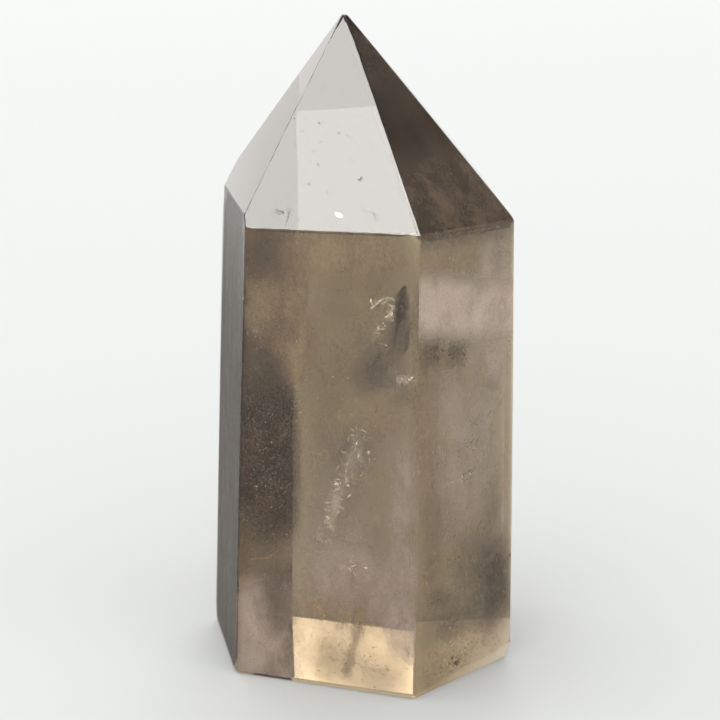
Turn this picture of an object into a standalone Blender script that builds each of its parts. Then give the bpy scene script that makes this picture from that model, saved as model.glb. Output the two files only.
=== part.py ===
"""A polished smoky quartz point: one clear stone with six ground sides and a six-sided tip, on its cut base.

Run it with blender --background --python part.py, or from Blender's text editor. Units are metres, +Z is up
and the origin is in the middle of the base. The stone is ground the way a cutter does it: a rough block loses
one flat slice after another, a slice for each facet, and the sharp edges are then eased.
"""

import math
from typing import NamedTuple

import bmesh
import bpy
from mathutils import Matrix, Vector

MM = 0.001

# The tip: the point where its six facets would meet, and the height of the small worn flat that ends them.
TIP = Vector((-2.1, 1.8, 80.0)) * MM
TOP = 79.45 * MM

# The rough block that the stone is ground from.
ROUGH_RADIUS = 28.0 * MM
ROUGH_HEIGHT = 100.0 * MM

# The polishing wheel leaves each edge eased by about a tenth of a millimetre.
EDGE_EASE = 0.1 * MM
EDGE_STEPS = 2
EDGE_ANGLE = math.radians(8.0)

STONE_COLOUR = (0.19, 0.135, 0.085, 1.0)
STONE_ROUGHNESS = 0.04
QUARTZ_IOR = 1.544


class Side(NamedTuple):
    """A facet that runs from the base to the shoulder."""

    heading: float  # degrees counter-clockwise from +X to which the facet looks
    lean: float     # degrees that it leans inwards as it rises
    reach: float    # millimetres from the middle of the base, at the base


class Slope(NamedTuple):
    """A facet of the tip, which passes through the point TIP."""

    heading: float  # degrees, as for a side
    rise: float     # degrees from level


class Chamfer(NamedTuple):
    """A narrow facet that takes the sharp edge off the base."""

    heading: float   # degrees, as for a side
    undercut: float  # degrees from upright that it runs inwards as it goes down
    reach: float     # millimetres from the middle of the base, at the base


SIDES = {
    "front": Side(heading=-90.0, lean=0.8, reach=14.6),
    "front_right": Side(heading=-30.0, lean=-0.6, reach=16.8),
    "back_right": Side(heading=30.0, lean=0.0, reach=16.2),
    "back": Side(heading=92.5, lean=0.3, reach=14.2),
    "back_left": Side(heading=149.5, lean=1.4, reach=16.0),
    "front_left": Side(heading=-150.0, lean=2.7, reach=17.6),
}

SLOPES = {
    "front": Slope(heading=-92.5, rise=54.5),
    "front_right": Slope(heading=-24.0, rise=47.5),
    "back_right": Slope(heading=30.0, rise=52.7),
    "back": Slope(heading=91.0, rise=58.5),
    "back_left": Slope(heading=151.5, rise=58.2),
    "front_left": Slope(heading=-153.0, rise=57.5),
}

CHAMFERS = {
    "front": Chamfer(heading=-90.0, undercut=30.0, reach=14.1),
    "front_right": Chamfer(heading=-28.3, undercut=17.5, reach=16.3),
    "back_right": Chamfer(heading=30.0, undercut=19.0, reach=15.5),
    "back": Chamfer(heading=92.5, undercut=35.0, reach=13.6),
    "back_left": Chamfer(heading=149.5, undercut=28.0, reach=15.1),
    "front_left": Chamfer(heading=-150.0, undercut=20.0, reach=17.35),
    "worn_corner": Chamfer(heading=-120.0, undercut=45.0, reach=17.8),
}


def outward(heading: float, above_level: float) -> Vector:
    """The unit vector with this heading that points this many degrees above level."""
    turn = math.radians(heading)
    tilt = math.radians(above_level)
    return Vector((math.cos(turn) * math.cos(tilt), math.sin(turn) * math.cos(tilt), math.sin(tilt)))


def at_base(heading: float, reach: float) -> Vector:
    """The point of the base's level that lies this many millimetres out along a heading."""
    return outward(heading, 0.0) * reach * MM


def rough_block() -> bmesh.types.BMesh:
    """A six-sided block, larger than the stone all round, that starts well under the base."""
    block = bmesh.new()
    place = Matrix.Translation((0.0, 0.0, TIP.z / 2.0))
    bmesh.ops.create_cone(
        block,
        cap_ends=True,
        segments=6,
        radius1=ROUGH_RADIUS,
        radius2=ROUGH_RADIUS,
        depth=ROUGH_HEIGHT,
        matrix=place,
    )
    return block


def grind(stone: bmesh.types.BMesh, point: Vector, normal: Vector) -> None:
    """Take away what lies past a plane, and close the cut with one flat facet."""
    everything = stone.verts[:] + stone.edges[:] + stone.faces[:]
    cut = bmesh.ops.bisect_plane(
        stone, geom=everything, dist=1e-7, plane_co=point, plane_no=normal, clear_outer=True
    )
    rim = [piece for piece in cut["geom_cut"] if isinstance(piece, bmesh.types.BMEdge)]
    if rim:
        bmesh.ops.edgeloop_fill(stone, edges=rim)


def grind_stone() -> bmesh.types.BMesh:
    """Grind the rough block to the stone's facets: base, sides, tip, worn top and base chamfers."""
    stone = rough_block()
    grind(stone, Vector((0.0, 0.0, 0.0)), Vector((0.0, 0.0, -1.0)))
    for side in SIDES.values():
        grind(stone, at_base(side.heading, side.reach), outward(side.heading, side.lean))
    for slope in SLOPES.values():
        grind(stone, TIP, outward(slope.heading, 90.0 - slope.rise))
    grind(stone, Vector((0.0, 0.0, TOP)), Vector((0.0, 0.0, 1.0)))
    for chamfer in CHAMFERS.values():
        grind(stone, at_base(chamfer.heading, chamfer.reach), outward(chamfer.heading, -chamfer.undercut))
    bmesh.ops.recalc_face_normals(stone, faces=stone.faces[:])
    return stone


def smoky_quartz() -> bpy.types.Material:
    """Clear polished quartz with the grey-brown tone that the stone shows against the light."""
    material = bpy.data.materials.new("smoky_quartz")
    material.use_nodes = True
    shader = material.node_tree.nodes["Principled BSDF"]
    shader.inputs["Base Color"].default_value = STONE_COLOUR
    shader.inputs["Roughness"].default_value = STONE_ROUGHNESS
    shader.inputs["Metallic"].default_value = 0.0
    shader.inputs["IOR"].default_value = QUARTZ_IOR
    material.diffuse_color = STONE_COLOUR
    return material


def ease_edges(point: bpy.types.Object) -> None:
    """Round every edge between two facets a little, as the polishing wheel does."""
    ease = point.modifiers.new("eased_edges", "BEVEL")
    ease.width = EDGE_EASE
    ease.segments = EDGE_STEPS
    ease.limit_method = "ANGLE"
    ease.angle_limit = EDGE_ANGLE


def add_point(collection: bpy.types.Collection) -> bpy.types.Object:
    """The whole stone, as one object standing on its base at the origin."""
    stone = grind_stone()
    mesh = bpy.data.meshes.new("smoky_quartz_point")
    stone.to_mesh(mesh)
    stone.free()
    mesh.materials.append(smoky_quartz())
    point = bpy.data.objects.new("smoky_quartz_point", mesh)
    collection.objects.link(point)
    ease_edges(point)
    return point


def main() -> None:
    """Clear the scene and add the stone in a collection of its own."""
    for old in list(bpy.data.objects):
        bpy.data.objects.remove(old, do_unlink=True)
    collection = bpy.data.collections.new("smoky_quartz_crystal")
    bpy.context.scene.collection.children.link(collection)
    add_point(collection)


main()
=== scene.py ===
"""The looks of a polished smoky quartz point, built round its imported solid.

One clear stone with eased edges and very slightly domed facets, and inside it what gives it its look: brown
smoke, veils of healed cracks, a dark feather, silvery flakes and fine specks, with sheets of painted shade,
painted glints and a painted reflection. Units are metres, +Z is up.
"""

import logging
import math
from dataclasses import dataclass, fields
from enum import Enum
from itertools import combinations
from typing import Any, Sequence

import bpy
import numpy as np
from mathutils import Matrix, Vector


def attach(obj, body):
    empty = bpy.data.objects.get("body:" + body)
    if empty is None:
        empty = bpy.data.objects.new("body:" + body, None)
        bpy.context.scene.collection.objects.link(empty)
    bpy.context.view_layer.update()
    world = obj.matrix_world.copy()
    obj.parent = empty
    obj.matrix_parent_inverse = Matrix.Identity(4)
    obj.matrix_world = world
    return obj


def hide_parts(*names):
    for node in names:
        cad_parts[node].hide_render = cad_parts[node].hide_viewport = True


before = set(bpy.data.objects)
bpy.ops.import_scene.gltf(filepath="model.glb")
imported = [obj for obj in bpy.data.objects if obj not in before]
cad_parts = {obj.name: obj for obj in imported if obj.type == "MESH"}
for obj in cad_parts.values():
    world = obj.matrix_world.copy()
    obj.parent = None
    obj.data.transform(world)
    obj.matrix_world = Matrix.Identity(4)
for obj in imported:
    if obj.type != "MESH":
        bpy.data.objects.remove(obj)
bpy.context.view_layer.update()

LOG = logging.getLogger("smoky_quartz")
MM = 0.001
BODY = "root"
STONE_NODE = "smoky_quartz_point"

# Tolerances in millimetres: for a corner that lies on a plane, for two corners that are one, and for points
# that neighbouring patches share.
EXACT = 1e-6
SAME_CORNER = 1e-5
SAME_POINT = 0.002

# Most values of a noise lie between these two.
NOISE_LOW, NOISE_HIGH = 0.35, 0.65

Array = np.ndarray


def unit(heading: float, above_level: float) -> Array:
    """The unit vector with a heading, counter-clockwise from +X, and an angle above level, in degrees."""
    turn, tilt = math.radians(heading), math.radians(above_level)
    return np.array([math.cos(turn) * math.cos(tilt), math.sin(turn) * math.cos(tilt), math.sin(tilt)])


def linear(colour: str) -> tuple[float, float, float, float]:
    """Turn an sRGB hex colour into the linear values that a shader takes.

    Args:
        colour: six hex digits with a leading hash.

    Returns:
        Linear red, green and blue, and an alpha of 1.
    """
    parts = [int(colour[i : i + 2], 16) / 255.0 for i in (1, 3, 5)]
    bent = [p / 12.92 if p <= 0.04045 else ((p + 0.055) / 1.055) ** 2.4 for p in parts]
    return bent[0], bent[1], bent[2], 1.0


def add_node(
    tree: bpy.types.NodeTree, kind: str, links: dict[str | int, Any] | None = None, **settings: Any
) -> Any:
    """Add a node with its settings and links.

    Args:
        tree: the node tree that takes it.
        kind: Blender's name for the node type.
        links: socket name or number to the value it holds, or to the output socket that feeds it.
        settings: the node's own properties.

    Returns:
        The node.
    """
    node = tree.nodes.new(kind)
    for name, value in settings.items():
        setattr(node, name, value)
    for socket, value in (links or {}).items():
        if isinstance(value, bpy.types.NodeSocket):
            tree.links.new(value, node.inputs[socket])
        else:
            node.inputs[socket].default_value = value
    return node


def new_mesh_object(
    name: str, verts: Array, faces: Sequence[Sequence[int]], smooth: bool = True
) -> bpy.types.Object:
    """Put worked-out points and faces into a mesh object that sits at the origin.

    Args:
        name: the piece's name.
        verts: points in metres, one row each.
        faces: for each face, the numbers of its points.
        smooth: whether the faces are shaded smooth.

    Returns:
        The object, linked to the scene.
    """
    mesh = bpy.data.meshes.new(name)
    mesh.from_pydata(np.asarray(verts, dtype=float).tolist(), [], [list(map(int, f)) for f in faces])
    mesh.polygons.foreach_set("use_smooth", np.full(len(mesh.polygons), smooth))
    mesh.update()
    piece = bpy.data.objects.new(name, mesh)
    bpy.context.scene.collection.objects.link(piece)
    return piece


def quad_grid(rows: int, columns: int, closed: bool = False) -> Array:
    """Quads between a grid's points, row by row; a closed grid joins its last column to its first."""
    row, col = np.meshgrid(np.arange(rows - 1), np.arange(columns if closed else columns - 1), indexing="ij")
    here, after = row * columns + col, row * columns + (col + 1) % columns
    return np.stack([here, here + columns, after + columns, after], axis=-1).reshape(-1, 4)


def new_material(name: str) -> tuple[bpy.types.Material, bpy.types.NodeTree, Any]:
    """A new material, its node tree and its main shader."""
    material = bpy.data.materials.new(name)
    material.use_nodes = True
    return material, material.node_tree, material.node_tree.nodes["Principled BSDF"]


def object_place(tree: bpy.types.NodeTree, upright_stretch: float) -> Any:
    """The spot on the piece, in metres, with the pattern drawn out this many times upwards."""
    place = add_node(tree, "ShaderNodeTexCoord").outputs["Object"]
    scale = (1.0, 1.0, 1.0 / upright_stretch)
    return add_node(tree, "ShaderNodeMapping", {"Vector": place, "Scale": scale}).outputs["Vector"]


def noise(tree: bpy.types.NodeTree, place: Any, size: float, **settings: float) -> Any:
    """A noise from 0 to 1 with features of this many millimetres; the settings are the node's inputs."""
    sockets = {"Vector": place, "Scale": 1.0 / (size * MM), **settings}
    return add_node(tree, "ShaderNodeTexNoise", sockets).outputs[0]


def spread_noise(tree: bpy.types.NodeTree, value: Any, low: float = 0.0, high: float = 1.0) -> Any:
    """A noise drawn out, so that most of it runs evenly from low to high."""
    reach = {"From Min": NOISE_LOW, "From Max": NOISE_HIGH, "To Min": low, "To Max": high}
    return add_node(tree, "ShaderNodeMapRange", {"Value": value, **reach}).outputs[0]


def tint(tree: bpy.types.NodeTree, share: Any, shade: str, colour: str) -> Any:
    """The tone that runs from the shade to the colour with a share from 0 to 1."""
    sockets = {0: share, 6: linear(shade), 7: linear(colour)}
    return add_node(tree, "ShaderNodeMix", sockets, data_type="RGBA").outputs[2]


def make_matt(shader: Any) -> None:
    """Take the gloss off a shader."""
    shader.inputs["Roughness"].default_value = 0.9
    shader.inputs["Specular IOR Level"].default_value = 0.0


def dress_sheet(tree: bpy.types.NodeTree, shader: Any, cover: Any, tone: Any) -> None:
    """Give a matt sheet its tone, and its cover times the solidness that its mesh holds."""
    solid = add_node(tree, "ShaderNodeAttribute", attribute_name="solidness").outputs["Fac"]
    alpha = add_node(tree, "ShaderNodeMath", {0: cover, 1: solid}, operation="MULTIPLY", use_clamp=True)
    tree.links.new(tone, shader.inputs["Base Color"])
    tree.links.new(alpha.outputs[0], shader.inputs["Alpha"])
    make_matt(shader)


@dataclass(frozen=True)
class Facet:
    """A ground facet: the plane through a point, in millimetres, that looks along a direction."""

    heading: float
    above_level: float
    point: tuple[float, float, float]
    dome_radius: float = 6000.0

    @property
    def normal(self) -> Array:
        """The outward unit vector."""
        return unit(self.heading, self.above_level)

    @property
    def offset(self) -> float:
        """How far out along the normal the plane lies."""
        return float(self.normal @ np.array(self.point))


def side(heading: float, lean: float, reach: float) -> Facet:
    """A side facet that leans inwards as it rises, this far out at the base."""
    return Facet(heading, lean, tuple(unit(heading, 0.0) * reach))


TIP = (-2.1, 1.8, 80.0)
TOP = 79.45


def slope(heading: float, rise: float) -> Facet:
    """A facet of the tip, which rises at this angle to the tip's point."""
    return Facet(heading, 90.0 - rise, TIP, dome_radius=1600.0)


def chamfer(heading: float, undercut: float, reach: float) -> Facet:
    """A narrow facet round the base, which runs inwards as it goes down."""
    return Facet(heading, -undercut, tuple(unit(heading, 0.0) * reach), dome_radius=1500.0)


@dataclass(frozen=True)
class Nick:
    """A spot where an edge is worn or chipped, so that it is blunter there."""

    place: tuple[float, float, float]
    reach: float = 0.5
    bluntness: float = 0.08


@dataclass
class StoneShape:
    """The whole outer surface, worked out from the facets that the cutter ground."""

    sides: tuple[Facet, ...] = (
        side(-90.0, 0.8, 14.6),
        side(-30.0, -0.6, 16.8),
        side(30.0, 0.0, 16.2),
        side(92.5, 0.3, 14.2),
        side(149.5, 1.4, 16.0),
        side(-150.0, 2.7, 17.6),
    )
    slopes: tuple[Facet, ...] = (
        slope(-92.5, 54.5),
        slope(-24.0, 47.5),
        slope(30.0, 52.7),
        slope(91.0, 58.5),
        slope(151.5, 58.2),
        slope(-153.0, 57.5),
    )
    chamfers: tuple[Facet, ...] = (
        chamfer(-90.0, 30.0, 14.1),
        chamfer(-28.3, 17.5, 16.3),
        chamfer(30.0, 19.0, 15.5),
        chamfer(-150.0, 20.0, 17.35),
        chamfer(-120.0, 45.0, 17.8),
    )
    base: Facet = Facet(0.0, -90.0, (0.0, 0.0, 0.0), dome_radius=1.0e6)
    top: Facet = Facet(0.0, 90.0, (0.0, 0.0, TOP), dome_radius=200.0)
    edge_softness: float = 0.007
    nicks: tuple[Nick, ...] = (
        Nick((-10.6, -14.3, 58.6), 0.7, 0.10),
        Nick((-10.9, -13.9, 56.4), 0.4, 0.10),
        Nick((-10.8, -14.0, 54.9), 0.35, 0.07),
        Nick((-10.9, -14.0, 52.6), 0.45, 0.09),
        Nick((-11.0, -14.1, 49.8), 0.35, 0.06),
        Nick((-11.2, -14.2, 41.9), 0.4, 0.08),
        Nick((-11.6, -14.4, 26.3), 0.45, 0.07),
        Nick((-12.0, -14.4, 15.8), 0.5, 0.06),
        Nick((11.0, -14.2, 36.8), 0.35, 0.07),
        Nick((11.2, -14.4, 20.3), 0.4, 0.06),
        Nick((18.4, -2.1, 28.1), 0.5, 0.06),
        Nick((-2.1, 1.8, 79.2), 1.2, 0.05),
    )
    outline_step: float = 0.5
    corner_crowding: float = 0.35
    ring_insets: tuple[float, ...] = (0.0, 0.008, 0.02, 0.045, 0.1, 0.24, 0.5, 1.2, 3.0, 6.0)

    @property
    def facets(self) -> list[Facet]:
        """Every facet of the stone."""
        return [*self.sides, *self.slopes, *self.chamfers, self.base, self.top]

    def corners(self, normals: Array, offsets: Array) -> Array:
        """The stone's sharp corners: the points where three planes meet that no other plane cuts off.

        Args:
            normals: outward unit vectors, one row a facet.
            offsets: distance of each plane along its normal.

        Returns:
            Corner points in millimetres.
        """
        triples = np.array(list(combinations(range(len(offsets)), 3)))
        planes = normals[triples]
        proper = np.abs(np.linalg.det(planes)) > EXACT
        points = np.linalg.solve(planes[proper], offsets[triples[proper]][..., None])[..., 0]
        inside = (points @ normals.T - offsets).max(axis=1) < EXACT
        found = points[inside]
        near = np.linalg.norm(found[:, None] - found[None], axis=2) < SAME_CORNER
        return found[near.argmax(axis=1) == np.arange(len(found))]

    def outline(self, corners: Array, normal: Array, offset: float) -> Array:
        """One facet's corners in order, counter-clockwise seen from outside."""
        on_plane = corners[np.abs(corners @ normal - offset) < SAME_CORNER]
        middle = on_plane.mean(axis=0)
        across = np.cross(normal, [0.3, 0.5, 0.81])
        across /= np.linalg.norm(across)
        up = np.cross(normal, across)
        angles = np.arctan2((on_plane - middle) @ up, (on_plane - middle) @ across)
        return on_plane[np.argsort(angles)]

    def patch(self, outline: Array) -> tuple[Array, Array]:
        """A facet as a grid of two parameters: u runs round its outline and v goes from there to its middle.

        A point is outline(u) moved towards the middle by the share that brings it v millimetres in from its
        edge. The last ring closes in the middle point.

        Args:
            outline: the facet's corners in order.

        Returns:
            Points, and quads and triangles as four numbers each (a triangle repeats its last point).
        """
        middle = outline.mean(axis=0)
        following = np.roll(outline, -1, axis=0)
        rim, share = [], []
        for start, end in zip(outline, following):
            length = float(np.linalg.norm(end - start))
            steps = max(2, math.ceil(length / self.outline_step))
            crowded = (1.0 - np.cos(np.linspace(0.0, math.pi, steps, endpoint=False))) / 2.0
            even = np.arange(steps) / steps
            t = even + self.corner_crowding * (crowded - even)
            along = (end - start) / length
            away = middle - start
            height = float(np.linalg.norm(away - along * (away @ along)))
            rim.append(start + (end - start) * t[:, None])
            share.append(np.full(steps, height))
        rim_points = np.concatenate(rim)
        heights = np.concatenate(share)
        insets = np.array([s for s in self.ring_insets if s < 0.9 * heights.min()])
        part = insets[:, None] / heights[None]
        rings = rim_points[None] + (middle - rim_points)[None] * part[..., None]
        count, around = rings.shape[:2]
        points = np.concatenate([rings.reshape(-1, 3), middle[None]])
        quads = quad_grid(count, around, closed=True)[:, [0, 3, 2, 1]]
        last = (count - 1) * around + np.arange(around)
        hub = np.full(around, count * around)
        fan = np.stack([last, (count - 1) * around + (np.arange(around) + 1) % around, hub, hub], axis=-1)
        return points, np.concatenate([quads, fan])

    def settle(
        self, points: Array, normals: Array, offsets: Array, middles: Array, radii: Array
    ) -> tuple[Array, Array]:
        """Slide points onto the eased and domed surface.

        The surface is where the soft maximum of all the facets' heights is zero. A facet's height at a point
        is its distance past the plane plus the dome's drop, the squared distance from the facet's middle over
        twice the dome's radius. The soft maximum, a log of summed exponentials, rounds each edge.

        Args:
            points: points on the sharp stone.
            normals: outward unit vectors, one row a facet.
            offsets: distance of each plane along its normal.
            middles: each facet's middle.
            radii: each dome's radius.

        Returns:
            The moved points, and the unit vector that looks straight out of the surface at each.
        """
        moved = points.copy()
        places = np.array([n.place for n in self.nicks])
        reach = np.array([n.reach for n in self.nicks])
        blunt = np.array([n.bluntness for n in self.nicks])
        far = ((points[:, None] - places[None]) ** 2).sum(axis=2)
        soft = self.edge_softness + (blunt * np.exp(-far / (2.0 * reach**2))).sum(axis=1, keepdims=True)
        for _ in range(4):
            away = moved[:, None, :] - middles[None]
            height = moved @ normals.T - offsets + (away**2).sum(axis=2) / (2.0 * radii)
            slope_of = normals[None] + away / radii[None, :, None]
            peak = height.max(axis=1, keepdims=True)
            weight = np.exp((height - peak) / soft)
            total = weight.sum(axis=1, keepdims=True)
            value = (peak + soft * np.log(total))[:, 0]
            direction = ((weight / total)[..., None] * slope_of).sum(axis=1)
            moved -= direction * (value / (direction**2).sum(axis=1))[:, None]
        return moved, direction / np.linalg.norm(direction, axis=1, keepdims=True)

    def build(self) -> bpy.types.Object:
        """The stone's closed surface as one object."""
        facets = self.facets
        normals = np.array([f.normal for f in facets])
        offsets = np.array([f.offset for f in facets])
        corners = self.corners(normals, offsets)
        outlines = [self.outline(corners, n, d) for n, d in zip(normals, offsets)]
        middles = np.array([o.mean(axis=0) for o in outlines])
        radii = np.array([f.dome_radius for f in facets])
        points, faces, start = [], [], 0
        for outline in outlines:
            patch_points, patch_faces = self.patch(outline)
            points.append(patch_points)
            faces.append(patch_faces + start)
            start += len(patch_points)
        flat = np.concatenate(points)
        keys = np.round(flat / SAME_POINT).astype(np.int64)
        _, first, same = np.unique(keys, axis=0, return_index=True, return_inverse=True)
        settled, outward = self.settle(flat[first], normals, offsets, middles, radii)
        joined = same.reshape(-1)[np.concatenate(faces)]
        tidy = [list(dict.fromkeys(face)) for face in joined.tolist()]
        stone = new_mesh_object("smoky_quartz_crystal", settled * MM, [f for f in tidy if len(f) > 2])
        stone.data.normals_split_custom_set_from_vertices(outward.tolist())
        return stone


@dataclass(frozen=True)
class PolishedSmokyQuartz:
    """Clear quartz browned by natural radiation, ground flat and polished wet with oxide on a wheel.

    To the eye it is glass-clear and mirror-bright, and the brown deepens with the length of the light's path.
    """

    ior: float = 1.544
    roughness: float = 0.0
    left_over: tuple[float, float, float] = (0.66, 0.545, 0.34)
    strength: float = 79.0

    def make(self) -> bpy.types.Material:
        """The material: plain transmission, and plain absorption inside."""
        material, tree, shader = new_material("polished_smoky_quartz")
        shader.inputs["Base Color"].default_value = (1.0, 1.0, 1.0, 1.0)
        shader.inputs["Roughness"].default_value = self.roughness
        shader.inputs["IOR"].default_value = self.ior
        shader.inputs["Transmission Weight"].default_value = 1.0
        sockets = {"Color": (*self.left_over, 1.0), "Density": self.strength}
        smoke = add_node(tree, "ShaderNodeVolumeAbsorption", sockets)
        tree.links.new(smoke.outputs["Volume"], tree.nodes["Material Output"].inputs["Volume"])
        return material


@dataclass(frozen=True)
class CloudFinish:
    """Countless bubbles and needles, too small to see singly, caught in the stone as it grew; some pieces use
    it for painted shade, painted glints or a painted reflection instead.

    To the eye they make a soft cloud that thins out in places and shows a fine grain.
    """

    name: str
    colour: str
    shade: str
    cloud_size: float = 6.0
    grain_size: float = 0.35
    clear_below: float = 0.36
    solid_above: float = 0.64
    grain_share: float = 0.35
    upright_stretch: float = 1.6

    def make(self) -> bpy.types.Material:
        """The material: two noises in real millimetres drive how solid each spot of a sheet is."""
        material, tree, shader = new_material(self.name)
        place = object_place(tree, self.upright_stretch)
        clouds = noise(tree, place, self.cloud_size, Detail=6.0, Roughness=0.6, Distortion=0.1)
        grain = noise(tree, place, self.grain_size, Detail=3.0, Roughness=0.7)
        both = add_node(
            tree, "ShaderNodeMix", {0: self.grain_share, 2: clouds, 3: grain}, data_type="FLOAT"
        ).outputs[0]
        cover = add_node(
            tree,
            "ShaderNodeMapRange",
            {"Value": both, "From Min": self.clear_below, "From Max": self.solid_above},
            interpolation_type="SMOOTHSTEP",
        ).outputs[0]
        dress_sheet(tree, shader, cover, tint(tree, both, self.shade, self.colour))
        return material


@dataclass(frozen=True)
class ShadeFilmFinish:
    """A grey film of painted shade on one side, which darkens that side's reflection where one looks along
    it.

    To the eye it is next to nothing face on, and a streaky grey where one looks along it.
    """

    name: str = "painted_shade_film"
    colour: str = "#7d7772"
    shade: str = "#5b5753"
    thin: float = 0.15
    thick: float = 0.28
    streak_size: float = 1.1
    upright_stretch: float = 14.0

    def make(self) -> bpy.types.Material:
        """The material: its cover is d / (d + the view's cosine), where the depth d comes in streaks."""
        material, tree, shader = new_material(self.name)
        place = object_place(tree, self.upright_stretch)
        streaks = noise(tree, place, self.streak_size, Detail=4.0, Roughness=0.6)
        depth = spread_noise(tree, streaks, self.thin, self.thick)
        facing = add_node(tree, "ShaderNodeLayerWeight", {"Blend": 0.5}).outputs["Facing"]
        cosine = add_node(tree, "ShaderNodeMath", {0: 1.0, 1: facing}, operation="SUBTRACT").outputs[0]
        both = add_node(tree, "ShaderNodeMath", {0: depth, 1: cosine}, operation="ADD").outputs[0]
        cover = add_node(tree, "ShaderNodeMath", {0: depth, 1: both}, operation="DIVIDE").outputs[0]
        dress_sheet(tree, shader, cover, tint(tree, streaks, self.shade, self.colour))
        return material


@dataclass(frozen=True)
class SpeckFinish:
    """A tiny solid crumb or the bright wall of a tiny crack, shut in the stone as it grew.

    To the eye each is a point of its own colour, no two quite alike in tone.
    """

    name: str
    colour: str
    shade: str
    roughness: float = 0.35
    metallic: float = 0.0
    patch_size: float = 1.2

    def make(self) -> bpy.types.Material:
        """The material: a noise in real millimetres runs the tone from speck to speck."""
        material, tree, shader = new_material(self.name)
        place = add_node(tree, "ShaderNodeTexCoord").outputs["Object"]
        patches = noise(tree, place, self.patch_size, Detail=2.0, Roughness=0.6)
        tone = tint(tree, spread_noise(tree, patches), self.shade, self.colour)
        tree.links.new(tone, shader.inputs["Base Color"])
        shader.inputs["Roughness"].default_value = self.roughness
        shader.inputs["Metallic"].default_value = self.metallic
        return material


@dataclass(frozen=True)
class Interior:
    """The room inside the stone, less a skin that the inclusions keep clear of."""

    normals: Array
    offsets: Array

    def share_inside(self, start: Array, away: Array, skin: float) -> Array:
        """How far along each step from a start one can go without leaving the stone, at most 1.

        Args:
            start: one point in millimetres.
            away: steps in millimetres, one row each.
            skin: millimetres to keep from the surface.

        Returns:
            A share from 0 to 1 for each step.
        """
        room = self.offsets - skin - self.normals @ start
        speed = away @ self.normals.T
        with np.errstate(divide="ignore", invalid="ignore"):
            share = np.where(speed > 1e-9, room[None] / speed, np.inf)
        return np.clip(share.min(axis=1), 0.0, 1.0)

    def holds(self, points: Array, skin: float) -> Array:
        """Which of the points lie inside the stone by more than the skin."""
        return (points @ self.normals.T - self.offsets).max(axis=1) < -skin


def smooth_step(value: Array) -> Array:
    """Zero below 0, one above 1 and an even S between."""
    held = np.clip(value, 0.0, 1.0)
    return held * held * (3.0 - 2.0 * held)


# The waves on a sheet's rim, each as its height and its number, and what sets where they start.
RIM_WAVES = ((0.05, 3.0), (0.03, 7.0))
WAVE_START = (1.7, 2.3, 0.9)

# The share of a sheet's bend by which its ripple may stand up.
RIPPLE_ROOM = 0.3


@dataclass(frozen=True)
class Cloud:
    """A thin curved sheet of smoke, haze, painted shade or painted reflection inside the stone, in
    millimetres and degrees.
    """

    centre: tuple[float, float, float]
    heading: float
    above_level: float
    width: float
    height: float
    density: float
    solid_to: float = 0.35
    skin: float = 0.1
    squareness: float = 2.5
    turn: float = 0.0
    bend: float = 0.0
    ripple: float = 0.25

    def surface(self, interior: Interior, rings: int = 12, around: int = 56) -> tuple[Array, Array, Array]:
        """The sheet as a function of an angle u and a share v of the way to its wavy rim.

        The rim is a rounded box, |cos u|^p + |sin u|^p = 1, with two low waves on it. The sheet sags by
        bend times v squared and ripples by a sine of u and v. Its density stays full up to solid_to and
        falls in an even S to nothing at the rim.

        Args:
            interior: the room that the sheet must stay in.
            rings: steps of v.
            around: steps of u.

        Returns:
            Points in millimetres, the density at each, and faces.
        """
        u = np.linspace(0.0, 2.0 * math.pi, around, endpoint=False)
        p = self.squareness
        phase = float(np.dot(self.centre, WAVE_START))
        rim = (np.abs(np.cos(u)) ** p + np.abs(np.sin(u)) ** p) ** (-1.0 / p)
        (low, few), (lower, many) = RIM_WAVES
        rim = rim * (1.0 + low * np.sin(few * u + phase) + lower * np.sin(many * u - phase))
        outward = unit(self.heading, self.above_level)
        right = unit(self.heading + 90.0, 0.0)
        up = np.cross(outward, right)
        lean = math.radians(self.turn)
        axis_a = math.cos(lean) * right - math.sin(lean) * up
        axis_b = math.sin(lean) * right + math.cos(lean) * up
        start = np.array(self.centre)
        across = (rim * np.cos(u) * self.width / 2.0)[:, None] * axis_a
        across = across + (rim * np.sin(u) * self.height / 2.0)[:, None] * axis_b
        reach = interior.share_inside(start, across - self.bend * outward, self.skin)
        crest = across + RIPPLE_ROOM * self.bend * outward
        reach = np.minimum(reach, interior.share_inside(start, crest, self.skin))
        v = np.linspace(0.0, 1.0, rings + 1)[1:]
        flat = start + (v[:, None] * reach[None])[..., None] * across[None]
        sag = -self.bend * (v[:, None] * reach[None]) ** 2
        ripple = self.ripple * self.bend * v[:, None] * np.sin(2.0 * u[None] + 4.0 * v[:, None] + phase)
        points = flat + (sag + ripple * reach[None])[..., None] * outward
        fade = 1.0 - smooth_step((v[:, None] * reach[None] - self.solid_to) / (1.0 - self.solid_to))
        dense = self.density * fade
        quads = quad_grid(rings, around, closed=True)
        hub = np.full(around, rings * around)
        col = np.arange(around)
        fan = np.stack([hub, col, (col + 1) % around, hub], axis=-1)
        every = np.concatenate([points.reshape(-1, 3), start[None]])
        return every, np.append(dense.reshape(-1), self.density), np.concatenate([quads, fan])


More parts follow.
